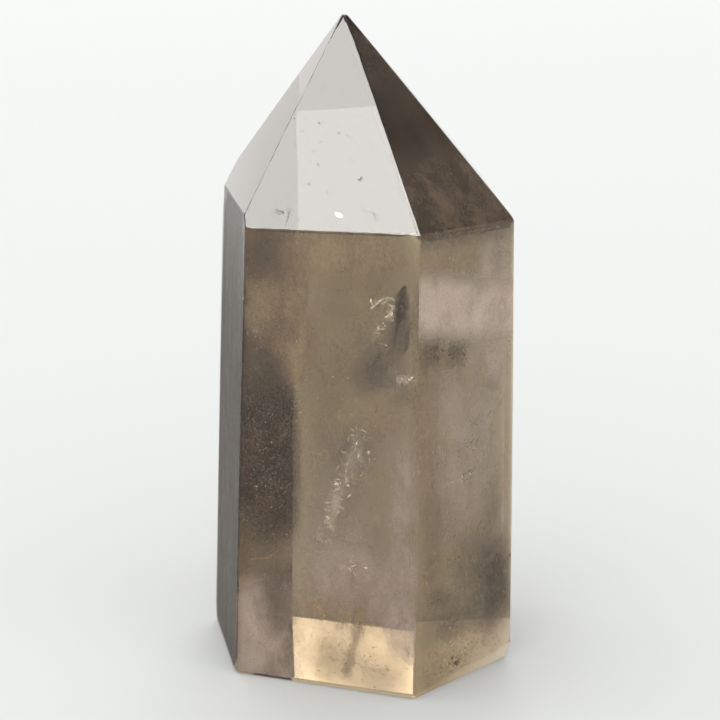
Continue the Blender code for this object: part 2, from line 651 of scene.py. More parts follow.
@dataclass(frozen=True)
class Ribbon:
    """A narrow sheet along a curved line: a feather, a painted glint along a crack or at an edge, or a thread
    of colour.
    """

    points: tuple[tuple[float, float, float], ...]
    half_widths: tuple[float, ...]
    heading: float
    above_level: float
    density: float = 1.0
    edge_power: float = 4.0
    bulge: float = 0.2
    unevenness: float = 0.18
    end_fade: float = 0.35

    def surface(self, interior: Interior, along: int = 60, across: int = 8) -> tuple[Array, Array, Array]:
        """The sheet as a function of the way t along a smooth curve and the way s across it.

        The curve passes through the given points with even tangents. A point is curve(t) plus s times the
        half width at t, sideways, and rises by bulge times the half width times (1 - s squared).

        Args:
            interior: unused room; a ribbon is placed where it fits.
            along: steps of t.
            across: steps of s.

        Returns:
            Points in millimetres, the density at each, and faces.
        """
        knots = np.array(self.points)
        ends = np.concatenate([2 * knots[:1] - knots[1:2], knots, 2 * knots[-1:] - knots[-2:-1]])
        t = np.linspace(0.0, len(knots) - 1.0, along)
        i = np.minimum(t.astype(int), len(knots) - 2)
        f = (t - i)[:, None]
        a, b, c, d = ends[i], ends[i + 1], ends[i + 2], ends[i + 3]
        square, cube = 2 * a - 5 * b + 4 * c - d, 3 * b - a - 3 * c + d
        curve = 0.5 * (2 * b + (c - a) * f + square * f**2 + cube * f**3)
        outward = unit(self.heading, self.above_level)
        run = np.gradient(curve, axis=0)
        sideways = np.cross(run, outward)
        sideways /= np.linalg.norm(sideways, axis=1, keepdims=True)
        half = np.interp(t, np.arange(len(knots)), self.half_widths)
        waves = np.sin(5.3 * t + knots[0, 0]) * np.sin(2.1 * t + knots[0, 2])
        half = half * (1.0 + self.unevenness * waves)
        s = np.linspace(-1.0, 1.0, across)
        points = curve[:, None] + (half[:, None] * s[None])[..., None] * sideways[:, None]
        points = points + (self.bulge * half[:, None] * (1.0 - s[None] ** 2))[..., None] * outward
        ends_fade = smooth_step(np.minimum(t, t[-1] - t) / self.end_fade)
        dense = self.density * ends_fade[:, None] * (1.0 - np.abs(s[None]) ** self.edge_power)
        return points.reshape(-1, 3), dense.reshape(-1), quad_grid(along, across)


@dataclass(frozen=True)
class Swarm:
    """Many small flat crumbs scattered round a spot, in millimetres."""

    centre: tuple[float, float, float]
    spread: tuple[float, float, float]
    count: int
    smallest: float
    largest: float
    flatness: float = 0.3
    length: float = 1.5
    heading: float = -90.0
    above_level: float = 0.0
    tilt: float = 4.0
    run: float = 0.0
    run_spread: float = 180.0
    skin: float = 0.25
    smallness: float = 2.2
    roughness: float = 0.25


@dataclass(frozen=True)
class SheetPiece:
    """Several sheets of one finish, joined in one piece."""

    finish: CloudFinish | ShadeFilmFinish
    sheets: tuple[Cloud | Ribbon, ...]

    def build(self, interior: Interior) -> bpy.types.Object:
        """Join the sheets' surfaces and keep each point's density as an attribute."""
        points, dense, faces, start = [], [], [], 0
        for sheet in self.sheets:
            sheet_points, sheet_dense, sheet_faces = sheet.surface(interior)
            points.append(sheet_points)
            dense.append(sheet_dense)
            faces.append(sheet_faces + start)
            start += len(sheet_points)
        tidy = [list(dict.fromkeys(face)) for face in np.concatenate(faces).tolist()]
        piece = new_mesh_object(self.finish.name, np.concatenate(points) * MM, tidy)
        layer = piece.data.attributes.new("solidness", "FLOAT", "POINT")
        layer.data.foreach_set("value", np.concatenate(dense).astype(np.float32))
        piece.data.materials.append(self.finish.make())
        return piece


@dataclass(frozen=True)
class SpeckPiece:
    """Many crumbs of one finish, joined in one piece."""

    finish: SpeckFinish
    swarms: tuple[Swarm, ...]
    seed: int

    def crumbs(self, swarm: Swarm, interior: Interior, rng: np.random.Generator) -> Array:
        """The corners of a swarm's crumbs, six for each: a squashed and stretched octahedron.

        A crumb's middle is drawn from a bell curve round the swarm's centre, its size from a power law
        between smallest and largest. Its flat side looks along the swarm's heading, off by a bell curve's
        draw times the tilt, so that a large tilt is any way at all, and its long way runs at the angle run
        from level, give or take run_spread. Crumbs nearer to the surface than the skin are left out.
        """
        outward = unit(swarm.heading, swarm.above_level)
        right = unit(swarm.heading + 90.0, 0.0)
        offsets = rng.normal(size=(swarm.count, 3)) * np.array(swarm.spread)
        up = np.cross(outward, right)
        frame_of = np.stack([right, outward, up])
        middles = np.array(swarm.centre) + offsets @ frame_of
        growth = rng.random(swarm.count) ** swarm.smallness
        sizes = swarm.smallest * (swarm.largest / swarm.smallest) ** growth
        flat = outward + swarm.tilt * rng.normal(size=(swarm.count, 3))
        flat = flat / np.linalg.norm(flat, axis=1, keepdims=True)
        angles = np.radians(swarm.run + swarm.run_spread * rng.normal(size=(swarm.count, 1)))
        long = np.cos(angles) * right + np.sin(angles) * up
        long = long - flat * (long * flat).sum(axis=1, keepdims=True)
        long = long / np.linalg.norm(long, axis=1, keepdims=True)
        turns = np.stack([long, np.cross(flat, long), flat], axis=2)
        axes = turns * (0.5 * sizes[:, None] * np.array([swarm.length, 1.0, swarm.flatness]))[:, None, :]
        corners = np.concatenate([axes, -axes], axis=2).transpose(0, 2, 1)
        uneven = 2.0 * swarm.roughness * rng.random((swarm.count, 6, 1))
        corners = corners * (1.0 - swarm.roughness + uneven)
        kept = interior.holds(middles, swarm.skin)
        return (middles[:, None] + corners)[kept]

    def build(self, interior: Interior) -> bpy.types.Object:
        """Join all the crumbs into one mesh."""
        rng = np.random.default_rng(self.seed)
        corners = np.concatenate([self.crumbs(swarm, interior, rng) for swarm in self.swarms])
        around = [(0, 1), (1, 3), (3, 4), (4, 0)]
        eight = np.array([(a, b, 2) for a, b in around] + [(b, a, 5) for a, b in around])
        first = 6 * np.arange(len(corners))
        faces = (eight[None] + first[:, None, None]).reshape(-1, 3)
        sign = np.linalg.det(corners[:, :3] - corners.mean(axis=1, keepdims=True)) < 0.0
        flip = np.repeat(sign, 8)
        faces[flip] = faces[flip][:, ::-1]
        piece = new_mesh_object(self.finish.name, corners.reshape(-1, 3) * MM, faces, smooth=False)
        piece.data.materials.append(self.finish.make())
        return piece


# Heading and angle above level of the facets in the photo: the front, right and left side, and the same
# three of the tip.
F, R, L = (-90.0, 0.8), (-30.0, -0.6), (-150.0, 2.7)
PF, PR, PL = (-92.5, 35.5), (-24.0, 42.5), (-153.0, 32.5)

# How crumbs lie: dust flat on the tip's front, and needles along a crack under the front or right side.
DUST = {"flatness": 0.2, "length": 1.3, "heading": -92.5, "above_level": 35.5, "tilt": 0.05, "skin": -0.3}
NEEDLES = {"flatness": 0.2, "length": 6.0, "heading": -90.0, "above_level": 0.8, "tilt": 0.25}
NEEDLES_ON_R = {**NEEDLES, "length": 5.0, "heading": -30.0, "above_level": -0.6}


def at_depth(y: float, *spots: tuple[float, float]) -> tuple[tuple[float, float, float], ...]:
    """Points that share their y, each given by its x and its height in millimetres."""
    return tuple((x, y, z) for x, z in spots)


@dataclass
class Inclusions:
    """Everything in and on the clear stone: smoke, haze, veils, a feather, cracks, flakes and specks, and
    sheets of painted shade, painted glints and a painted reflection.
    """

    brown_smoke: SheetPiece = SheetPiece(
        CloudFinish(
            "brown_smoke", "#e2c7a0", "#7f6647", cloud_size=4.0, grain_share=0.3, clear_below=0.12,
            solid_above=0.64,
        ),
        (
            Cloud((0.6, -13.2, 31.0), *F, 21.5, 62.0, 0.5, 0.85, 0.5, squareness=7.0, bend=0.2),
            Cloud((-5.6, -13.4, 49.0), *F, 11.0, 22.0, 0.95, 0.4, 0.3, squareness=3.5, bend=0.1),
            Cloud((-3.2, -13.6, 47.0), *F, 5.6, 26.0, 0.95, 0.3),
            Cloud((1.0, -13.7, 56.2), *F, 34.0, 12.0, 0.85, 0.1, 0.03, squareness=4.0),
            Cloud((4.0, -12.9, 51.0), *F, 14.0, 12.0, 0.3, 0.3, 0.5, squareness=3.0, bend=0.2),
            Cloud((14.4, -7.1, 31.0), *R, 17.4, 58.0, 0.55, 0.8, 0.5, squareness=7.0, bend=0.2),
            Cloud((15.4, -7.6, 56.4), *R, 30.0, 9.0, 0.8, 0.1, 0.03, turn=8.0, squareness=5.0),
            Cloud((12.3, -12.2, 34.0), *R, 4.0, 44.0, 0.5, 0.2, squareness=4.0),
            Cloud((0.0, 12.2, 30.0), 92.5, 0.3, 18.0, 58.0, 0.5, 0.7, 0.5, squareness=6.0, bend=0.3),
            Cloud((12.8, 7.4, 30.0), 30.0, 0.0, 14.0, 56.0, 0.5, 0.7, 0.5, squareness=6.0, bend=0.3),
            Cloud((-12.2, 7.1, 30.0), 149.5, 1.4, 14.0, 56.0, 0.5, 0.7, 0.5, squareness=6.0, bend=0.3),
            Cloud((1.0, -4.0, 34.0), -60.0, 12.0, 20.0, 40.0, 0.15, 0.3, 0.5, squareness=3.0, bend=3.0),
            Cloud((-3.0, 3.0, 28.0), 60.0, -14.0, 20.0, 44.0, 0.25, 0.3, 0.5, squareness=3.0, bend=3.0),
        ),
    )
    umber_smoke: SheetPiece = SheetPiece(
        CloudFinish(
            "umber_smoke", "#a68c70", "#46382b", cloud_size=3.0, grain_share=0.3, clear_below=0.18,
            solid_above=0.66,
        ),
        (
            Cloud((13.7, -6.0, 60.42), *PR, 34.0, 22.0, 1.0, 0.3, 0.02, squareness=4.0),
            Cloud((6.0, -1.2, 70.35), *PR, 14.0, 16.0, 0.45, 0.1),
            Cloud((15.5, -7.8, 58.4), *R, 34.0, 6.0, 0.9, 0.1, 0.02, turn=6.0, squareness=6.0),
            Cloud((16.5, -4.9, 13.6), *R, 12.0, 16.0, 0.9, 0.2, squareness=2.6),
            Cloud((17.8, -2.7, 11.0), *R, 8.0, 18.0, 1.0, 0.2, squareness=2.6),
            Cloud((15.0, -7.4, 8.4), *R, 24.0, 7.0, 0.85, 0.1, 0.06, squareness=3.0),
            Cloud((12.5, -12.2, 44.0), *R, 4.4, 5.0, 0.9, 0.2),
            Cloud((14.5, -8.8, 43.0), *R, 4.4, 4.0, 1.0, 0.2),
            Cloud((-7.6, -13.75, 54.6), *F, 9.6, 9.0, 0.75, 0.2, 0.06),
            Cloud((-7.4, -13.7, 40.4), *F, 7.6, 13.0, 0.6, 0.2, turn=-14.0),
            Cloud((-6.2, -14.3, 10.8), *F, 6.0, 11.0, 0.6, 0.1, 0.05, turn=-8.0),
            Cloud((1.4, -14.2, 4.2), *F, 9.0, 9.0, 0.18, 0.1, 0.06),
        ),
    )
    tip_shadow: SheetPiece = SheetPiece(
        CloudFinish("tip_shadow", "#45301f", "#2b1c10", cloud_size=4.0, clear_below=0.0, solid_above=0.2),
        (
            Cloud((-1.22, -6.26, 68.43), *PF, 30.0, 40.0, 1.0, 0.97, 0.08, squareness=8.0),
            Cloud((-8.47, -3.74, 66.73), *PL, 30.0, 40.0, 1.0, 0.97, 0.08, squareness=8.0),
            Cloud((8.77, -0.52, 67.27), *PR, 40.0, 44.0, 1.0, 0.97, 0.12, squareness=8.0),
            Cloud((6.0, 6.2, 64.0), 30.0, 37.3, 18.0, 26.0, 0.8, 0.6, 0.5, squareness=4.0, bend=0.3),
            Cloud((-1.0, 8.4, 65.0), 91.0, 31.5, 18.0, 26.0, 0.8, 0.6, 0.5, squareness=4.0, bend=0.3),
            Cloud((-8.0, 5.4, 65.0), 151.5, 31.8, 16.0, 26.0, 0.8, 0.6, 0.5, squareness=4.0, bend=0.3),
        ),
    )
    dark_smoke_and_painted_shade: SheetPiece = SheetPiece(
        CloudFinish(
            "dark_smoke_and_painted_shade", "#643a14", "#120801", cloud_size=2.6, grain_share=0.36, clear_below=0.17,
            solid_above=0.56,
        ),
        (
            Cloud((-7.6, -13.9, 28.6), *F, 10.4, 23.0, 1.0, 0.4, 0.06, squareness=5.0),
            Cloud((-7.6, -13.4, 30.0), *F, 10.4, 27.0, 1.0, 0.3, 0.08, squareness=5.0),
            Cloud((-8.6, -13.7, 39.0), *F, 7.6, 20.0, 0.9, 0.1, 0.08, turn=-24.0),
            Cloud((-7.4, -13.0, 53.4), *F, 7.0, 9.0, 0.6, 0.1, 0.5, turn=15.0, bend=0.2),
            Cloud((-13.8, -7.2, 42.2), *L, 14.0, 4.5, 0.9, 0.2, 0.3, bend=0.2),
            # Painted shade: a dark sheet under the whole left side that darkens it.
            Cloud((-14.07, -7.69, 29.0), *L, 30.0, 90.0, 1.0, 0.9, 0.06, squareness=7.0),
            Cloud((17.6, -3.2, 11.6), *R, 7.0, 12.0, 0.8, 0.1, 0.05, turn=-20.0),
            Cloud((12.7, -10.3, 11.9), *R, 5.4, 4.0, 0.4, 0.2, 0.5, bend=0.2),
            Cloud((17.2, -3.3, 37.7), *R, 3.0, 3.0, 0.5, 0.2, 0.2, bend=0.1),
            Cloud((12.3, -11.2, 20.0), *R, 4.2, 22.0, 0.22, 0.2, 0.5, squareness=3.5, bend=0.2),
            Cloud((17.0, -2.9, 22.0), *R, 5.0, 10.0, 0.35, 0.2, 0.5, bend=0.2),
            Cloud((17.5, -3.2, 52.8), *R, 4.4, 5.4, 0.35, 0.2, 0.2, bend=0.1),
            Cloud((8.0, -3.0, 67.4), *PR, 14.0, 17.0, 0.8, 0.4),
            Cloud((9.4, -13.4, 47.4), *F, 3.6, 10.0, 0.6, 0.1, turn=12.0),
            Cloud((6.2, -13.5, 42.0), *F, 4.6, 7.0, 0.5, 0.1, turn=40.0),
        ),
    )
    grey_haze: SheetPiece = SheetPiece(
        CloudFinish(
            "grey_haze", "#f6e7dc", "#c9ae98", cloud_size=4.0, grain_share=0.14, clear_below=0.14,
            solid_above=0.64,
        ),
        (
            Cloud((-7.6, -14.2, 6.0), *F, 12.0, 18.0, 1.0, 0.35, 0.05, squareness=4.0),
            Cloud((-8.6, -13.9, 6.0), *F, 9.0, 17.0, 0.9, 0.3, 0.08, squareness=3.0),
            Cloud((-0.6, -13.8, 22.0), *F, 7.0, 26.0, 0.3, 0.1),
            Cloud((3.8, -13.8, 14.6), *F, 24.0, 18.0, 0.9, 0.1, squareness=3.0),
            Cloud((6.4, -14.15, 11.6), *F, 15.0, 7.6, 0.8, 0.1, 0.06, turn=10.0, squareness=2.6),
            Cloud((9.9, -14.3, 8.8), *F, 7.0, 12.0, 1.0, 0.4, 0.02, turn=-18.0),
            Cloud((7.0, -14.3, 1.6), *F, 16.0, 8.0, 0.35, 0.1, 0.04),
            Cloud((5.6, -13.6, 24.8), *F, 16.0, 24.0, 0.3, 0.1, squareness=3.0),
            Cloud((7.0, -13.1, 42.2), *F, 8.0, 8.8, 0.7, 0.2, 0.5, turn=35.0, bend=0.1),
            Cloud((4.1, -13.1, 31.6), *F, 7.2, 8.4, 0.6, 0.2, 0.5, turn=30.0, bend=0.1),
            Cloud((9.4, -13.8, 24.0), *F, 5.0, 32.0, 0.6, 0.3, 0.2, squareness=4.0, bend=0.1),
            Cloud((14.9, -6.9, 31.6), *R, 16.0, 27.0, 0.7, 0.35, 0.5, squareness=3.0, bend=0.1),
            Cloud((17.6, -3.6, 47.0), *R, 8.0, 27.0, 0.95, 0.35, 0.06, squareness=3.0),
        ),
    )
    ash_veil: SheetPiece = SheetPiece(
        CloudFinish(
            "ash_veil", "#b39d8a", "#66563f", cloud_size=1.5, grain_share=0.3, clear_below=0.32,
            solid_above=0.6,
        ),
        (
            Cloud((7.0, -13.75, 43.2), *F, 8.0, 10.0, 0.7, 0.2, turn=24.0),
            Cloud((5.6, -13.8, 40.6), *F, 6.6, 4.6, 0.55, 0.2, turn=-10.0),
            Cloud((9.2, -13.7, 47.0), *F, 4.6, 7.0, 0.45, 0.2, turn=10.0),
            Cloud((9.4, -13.8, 39.6), *F, 5.0, 5.0, 0.6, 0.2),
            Cloud((3.4, -13.9, 31.6), *F, 6.0, 9.0, 0.4, 0.2, turn=30.0),
        ),
    )
    white_veil: SheetPiece = SheetPiece(
        CloudFinish(
            "white_veil", "#fff2e2", "#e0c8b2", cloud_size=2.4, grain_share=0.14, clear_below=0.0,
            solid_above=0.56,
        ),
        (
            Cloud((15.3, -7.75, 48.4), *R, 44.0, 10.0, 1.0, 0.35, 0.05, turn=17.0, squareness=8.0),
            Cloud((-9.4, -14.3, 2.6), *F, 6.0, 8.0, 0.7, 0.2, 0.06),
            Cloud((9.6, -13.4, 41.4), *F, 2.6, 1.6, 0.8, 0.2, 0.25, turn=-10.0, bend=0.05),
            Cloud((-5.3, -13.6, 12.4), *F, 1.2, 2.0, 0.8, 0.2, 0.25, bend=0.05),
            Cloud((-1.1, -13.6, 50.4), *F, 1.4, 9.0, 0.22, 0.1, turn=14.0),
            Cloud((3.6, -13.8, 30.4), *F, 3.0, 8.0, 0.42, 0.0, turn=22.0),
            Cloud((1.3, -13.9, 24.2), *F, 2.8, 9.0, 0.42, 0.0, turn=16.0),
        ),
    )
    # Painted reflection: golden sheets low in the front and right sides stand in for the golden light that
    # the base reflects.
    painted_base_reflection: SheetPiece = SheetPiece(
        CloudFinish(
            "painted_base_reflection", "#f4d6a6", "#a58150", cloud_size=1.8, grain_share=0.5, clear_below=0.34,
            solid_above=0.66, upright_stretch=1.0,
        ),
        (
            Cloud((3.3, -14.2, 3.6), *F, 17.0, 9.0, 0.55, 0.3, 0.06, squareness=4.0),
            Cloud((2.4, -14.25, 9.8), *F, 17.0, 6.4, 0.9, 0.1, 0.05, turn=6.0, squareness=3.0),
            Cloud((14.95, -7.3, 5.0), *R, 22.0, 12.0, 0.85, 0.2, 0.06, squareness=4.0),
        ),
    )
    pale_dust: SheetPiece = SheetPiece(
        CloudFinish(
            "pale_dust", "#e2cba8", "#9c8060", cloud_size=3.0, grain_size=0.24, grain_share=0.8,
            clear_below=0.42, solid_above=0.72, upright_stretch=1.2,
        ),
        (
            Cloud((0.7, -14.05, 29.9), *F, 26.0, 64.0, 0.4, 0.9, 0.08, squareness=8.0),
            Cloud((-6.8, -13.95, 31.0), *F, 9.0, 44.0, 0.14, 0.6, squareness=4.0),
            Cloud((15.5, -7.5, 29.6), *R, 26.0, 64.0, 0.4, 0.9, 0.08, squareness=8.0),
            Cloud((9.0, -0.5, 67.3), *PR, 34.0, 40.0, 0.5, 0.9, 0.08, squareness=8.0),
        ),
    )
    grey_fold: SheetPiece = SheetPiece(
        CloudFinish("grey_fold", "#c9b8a4", "#93826c", cloud_size=3.0, clear_below=0.15, solid_above=0.5),
        (
            Ribbon(
                ((5.0, -13.0, 13.6), (3.9, -13.1, 8.6), (2.9, -13.2, 4.4), (2.2, -13.3, 1.2)),
                (0.7, 0.95, 0.85, 0.7), *F, density=0.62, edge_power=2.0,
            ),
        ),
    )
    feather: SheetPiece = SheetPiece(
        CloudFinish(
            "feather", "#5f4734", "#2a1b11", cloud_size=1.3, grain_size=0.25, clear_below=0.2,
            solid_above=0.52,
        ),
        (
            Ribbon(
                at_depth(-13.45, (10.2, 53.0), (9.8, 51.8), (9.7, 50.4), (9.4, 49.0), (9.1, 47.7)),
                (0.1, 0.75, 1.0, 0.85, 0.12), *F, edge_power=2.5,
            ),
            Ribbon(
                at_depth(-13.45, (9.3, 48.6), (9.1, 47.4), (8.8, 46.0), (8.4, 44.4)), (0.1, 0.16, 0.24, 0.08),
                *F, density=0.95,
            ),
            Ribbon(
                at_depth(-13.4, (10.7, 48.2), (10.3, 46.8), (10.2, 45.2), (9.5, 44.0)),
                (0.05, 0.3, 0.25, 0.05), *F, density=0.85, edge_power=2.0,
            ),
            Ribbon(
                at_depth(-13.4, (7.4, 47.2), (6.7, 45.4), (6.9, 43.8), (5.8, 42.2)), (0.05, 0.3, 0.35, 0.1),
                *F, density=0.75, edge_power=2.0,
            ),
            Ribbon(
                ((15.6, -2.3, 59.9), (16.1, -1.8, 59.7), (16.7, -1.1, 59.4)), (0.06, 0.22, 0.05), *PR,
                density=0.8,
            ),
            Ribbon(
                ((17.1, -2.9, 58.0), (17.6, -2.5, 57.7), (18.2, -1.7, 57.8)), (0.05, 0.26, 0.05), *PR,
                density=0.9,
            ),
        ),
    )
    # Painted glints: white sheets along real cracks, by the feather and down the front, stand in for the
    # light that the cracks reflect.
    painted_crack_glints: SheetPiece = SheetPiece(
        CloudFinish(
            "painted_crack_glints", "#fffaf0", "#f0e0c4", cloud_size=0.9, grain_size=0.2, clear_below=0.1,
            solid_above=0.42,
        ),
        (
            Ribbon(
                at_depth(-13.6, (5.8, 49.4), (6.6, 50.1), (7.3, 50.8), (8.0, 51.1), (8.6, 51.0)),
                (0.2, 0.13, 0.08, 0.12, 0.05), *F,
            ),
            Ribbon(at_depth(-13.6, (8.4, 49.8), (8.5, 48.6)), (0.12, 0.16), *F),
            Ribbon(at_depth(-13.6, (-5.3, 25.3), (-4.2, 26.4)), (0.07, 0.1), *F),
            Ribbon(at_depth(-13.4, (-8.7, 44.6), (-7.8, 45.6)), (0.07, 0.1), *F),
            Ribbon(at_depth(-13.5, (4.7, 32.9), (3.8, 31.6), (3.0, 29.8)), (0.03, 0.07, 0.03), *F),
            Ribbon(at_depth(-13.5, (3.5, 30.4), (2.6, 28.8), (2.9, 27.3)), (0.03, 0.07, 0.03), *F),
            Ribbon(at_depth(-13.6, (2.0, 25.4), (1.0, 23.6), (0.8, 21.4)), (0.03, 0.07, 0.03), *F),
            Ribbon(
                at_depth(-13.7, (-1.2, 19.4), (0.2, 18.8), (1.6, 19.4)), (0.03, 0.06, 0.03), *F, density=0.8,
            ),
            Ribbon(
                at_depth(-13.7, (-0.8, 20.8), (0.2, 21.2), (1.2, 21.1)), (0.03, 0.05, 0.03), *F, density=0.8,
            ),
            Ribbon(at_depth(-13.7, (4.9, 17.0), (5.9, 16.5)), (0.04, 0.07), *F, density=0.8),
            Ribbon(
                at_depth(-13.7, (3.0, 17.4), (3.6, 16.6), (3.6, 15.4)), (0.04, 0.07, 0.04), *F, density=0.8,
            ),
            Ribbon(((11.6, -4.4, 63.0), (12.5, -3.0, 63.0)), (0.06, 0.1), *PR, density=0.6),
        ),
    )
    orange_thread_and_painted_glint: SheetPiece = SheetPiece(
        CloudFinish(
            "orange_thread_and_painted_glint", "#e6bf92", "#a87b52", cloud_size=1.0, grain_size=0.3, clear_below=0.28,
            solid_above=0.56,
        ),
        (
            Ribbon(
                at_depth(-13.5, (-10.3, 15.3), (-8.7, 15.8), (-7.6, 16.0), (-6.1, 17.2), (-4.6, 18.2)),
                (0.06, 0.16, 0.13, 0.09, 0.05), *F, density=0.85,
            ),
            Ribbon(at_depth(-13.6, (-10.6, 20.7), (-9.6, 20.5)), (0.2, 0.12), *F, density=0.6),
            # Painted glint: an orange sheet at the foot of the left side stands in for a highlight on the
            # worn corner.
            Ribbon(
                ((-17.2, -4.9, 2.4), (-16.7, -5.7, 1.5), (-15.6, -7.3, 0.8)), (0.3, 0.55, 0.2), *L,
                density=0.9,
            ),
        ),
    )
    # Painted shade: a grey film on the left side that darkens its reflection, more where one looks along it.
    painted_shade_film: SheetPiece = SheetPiece(
        ShadeFilmFinish(),
        (Cloud((-14.7, -8.29, 16.0), *L, 70.0, 116.0, 1.0, 0.35, -0.06, squareness=6.0),),
    )
    dark_specks: SpeckPiece = SpeckPiece(
        SpeckFinish("dark_specks", "#5a4330", "#2a1c12", roughness=0.6),
        (
            Swarm((-7.4, -13.6, 27.0), (2.2, 0.3, 7.5), 500, 0.06, 0.28),
            Swarm((-7.2, -12.4, 51.0), (2.4, 0.7, 4.0), 360, 0.06, 0.2),
            Swarm((16.2, -3.0, 12.4), (2.6, 0.5, 3.2), 620, 0.06, 0.3, heading=-30.0),
            Swarm((12.9, -11.6, 44.1), (0.8, 0.1, 1.1), 260, 0.07, 0.3, heading=-30.0, skin=0.1),
            Swarm((14.7, -8.55, 43.4), (0.9, 0.1, 1.0), 300, 0.07, 0.3, heading=-30.0, skin=0.1),
            Swarm((16.3, -6.0, 33.4), (1.2, 0.1, 0.6), 170, 0.06, 0.28, heading=-30.0, skin=0.1),
            Swarm((15.6, -7.1, 30.8), (0.9, 0.1, 0.5), 150, 0.06, 0.26, heading=-30.0, skin=0.1),
            Swarm((15.5, -7.3, 27.6), (0.9, 0.1, 0.4), 120, 0.06, 0.24, heading=-30.0, skin=0.1),
            Swarm((17.3, -2.4, 52.6), (1.2, 0.4, 2.0), 110, 0.08, 0.26, heading=-30.0),
            Swarm((12.6, -10.6, 12.2), (1.6, 0.4, 1.4), 120, 0.06, 0.26, heading=-30.0),
            Swarm((6.4, -12.4, 43.0), (1.6, 0.5, 2.4), 260, 0.06, 0.22),
            Swarm((0.0, 0.0, 34.0), (9.0, 8.0, 24.0), 1600, 0.05, 0.16),
            Swarm((8.0, -0.6, 66.0), (5.0, 0.8, 5.0), 620, 0.06, 0.24, heading=-24.0),
            Swarm((3.0, -12.4, 4.0), (5.0, 1.0, 2.2), 620, 0.06, 0.22),
            Swarm((0.6, -13.0, 34.0), (6.0, 0.5, 13.0), 260, 0.05, 0.13),
            Swarm((14.6, -7.0, 28.0), (5.0, 0.4, 12.0), 200, 0.05, 0.13, heading=-30.0),
            Swarm((-2.1, 1.4, 78.4), (0.4, 0.4, 0.5), 90, 0.06, 0.2, skin=0.05),
        ),
        seed=7,
    )
    bright_specks: SpeckPiece = SpeckPiece(
        SpeckFinish("bright_specks", "#f0e0c4", "#96805f", roughness=0.3, metallic=1.0),
        (
            Swarm((-7.4, -14.06, 29.0), (2.0, 0.03, 8.0), 260, 0.05, 0.17, tilt=0.4, length=1.6, skin=0.05),
            Swarm(
                (-6.6, -13.84, 49.0), (2.6, 0.02, 6.0), 170, 0.05, 0.15, above_level=0.8, tilt=0.4, skin=0.04,
            ),
            Swarm((-3.1, -13.4, 41.0), (0.6, 0.15, 1.4), 26, 0.1, 0.3, tilt=0.3),
            Swarm((2.0, -13.7, 32.0), (5.6, 0.15, 14.0), 460, 0.06, 0.15, tilt=0.3),
            Swarm((3.6, -13.3, 30.0), (1.2, 0.2, 1.4), 80, 0.08, 0.34, tilt=0.3),
            Swarm((15.1, -7.9, 28.0), (4.0, 0.2, 14.0), 320, 0.06, 0.17, heading=-30.0, tilt=0.3),
            Swarm((12.4, -11.6, 25.0), (0.5, 0.2, 8.0), 30, 0.1, 0.28, heading=-30.0, tilt=0.3),
            Swarm(
                (10.3, -1.7, 65.9), (4.0, 0.2, 5.0), 160, 0.06, 0.18, heading=-24.0, above_level=42.5,
                tilt=0.5,
            ),
            Swarm((-10.6, -13.5, 53.5), (0.15, 0.15, 3.4), 60, 0.07, 0.2, skin=0.05),
            Swarm((-11.4, -14.0, 16.0), (0.15, 0.15, 7.0), 40, 0.07, 0.18, skin=0.05),
            Swarm((-14.0, -8.2, 30.0), (2.5, 0.3, 12.0), 90, 0.05, 0.15, heading=-150.0, tilt=0.4),
        ),
        seed=11,
    )
    silvery_flakes: SpeckPiece = SpeckPiece(
        SpeckFinish("silvery_flakes", "#fff7e6", "#ead8ba", roughness=0.2, metallic=1.0),
        (
            Swarm((4.0, -13.6, 31.8), (0.6, 0.1, 1.2), 300, 0.04, 0.2, **NEEDLES, run=58.0),
            Swarm((2.9, -13.6, 28.8), (0.5, 0.1, 1.2), 290, 0.04, 0.2, **NEEDLES, run=68.0),
            Swarm((1.5, -13.6, 25.2), (0.4, 0.1, 1.1), 210, 0.04, 0.19, **NEEDLES, run=64.0),
            Swarm((0.7, -13.7, 22.8), (0.4, 0.1, 1.0), 230, 0.04, 0.19, **NEEDLES, run=80.0),
            Swarm((-0.5, -13.8, 19.8), (0.5, 0.1, 0.8), 90, 0.04, 0.16, **NEEDLES, run=40.0),
            Swarm((3.4, -13.8, 16.6), (0.3, 0.1, 0.5), 34, 0.05, 0.18, **NEEDLES, run=75.0),
            Swarm((5.3, -13.8, 16.8), (0.35, 0.1, 0.2), 20, 0.05, 0.16, **NEEDLES, run=-25.0),
            Swarm((8.4, -13.6, 49.1), (0.25, 0.06, 0.5), 90, 0.05, 0.2, **NEEDLES, run=80.0),
            Swarm((7.2, -13.6, 50.5), (0.7, 0.06, 0.35), 60, 0.05, 0.18, **NEEDLES, run=35.0),
            Swarm((7.2, -13.6, 46.6), (0.6, 0.06, 0.9), 60, 0.05, 0.16, **NEEDLES, run=70.0),
            Swarm((9.6, -13.6, 41.2), (0.8, 0.1, 0.4), 60, 0.05, 0.2, **NEEDLES, run=20.0),
            Swarm((-8.2, -13.6, 45.0), (0.4, 0.1, 0.3), 20, 0.05, 0.16, **NEEDLES, run=45.0),
            Swarm((-5.4, -14.0, 12.3), (0.25, 0.1, 0.4), 34, 0.05, 0.2, **NEEDLES, run=75.0),
            Swarm((-6.6, -13.9, 25.2), (1.6, 0.1, 1.6), 30, 0.05, 0.2, **NEEDLES, run=50.0),
            Swarm((15.0, -7.4, 26.8), (0.9, 0.1, 0.15), 30, 0.04, 0.14, **NEEDLES_ON_R, run=8.0),
        ),
        seed=19,
    )
    green_specks: SpeckPiece = SpeckPiece(
        SpeckFinish("green_specks", "#4a4526", "#17160c", roughness=0.5),
        (
            Swarm((14.1, -8.1, 2.6), (0.7, 0.15, 0.25), 60, 0.15, 0.5, heading=-30.0),
            Swarm((12.9, -10.1, 2.8), (0.25, 0.15, 0.35), 14, 0.15, 0.5, heading=-30.0),
            Swarm((15.4, -5.8, 4.0), (1.6, 0.2, 1.0), 18, 0.1, 0.3, heading=-30.0),
        ),
        seed=23,
    )
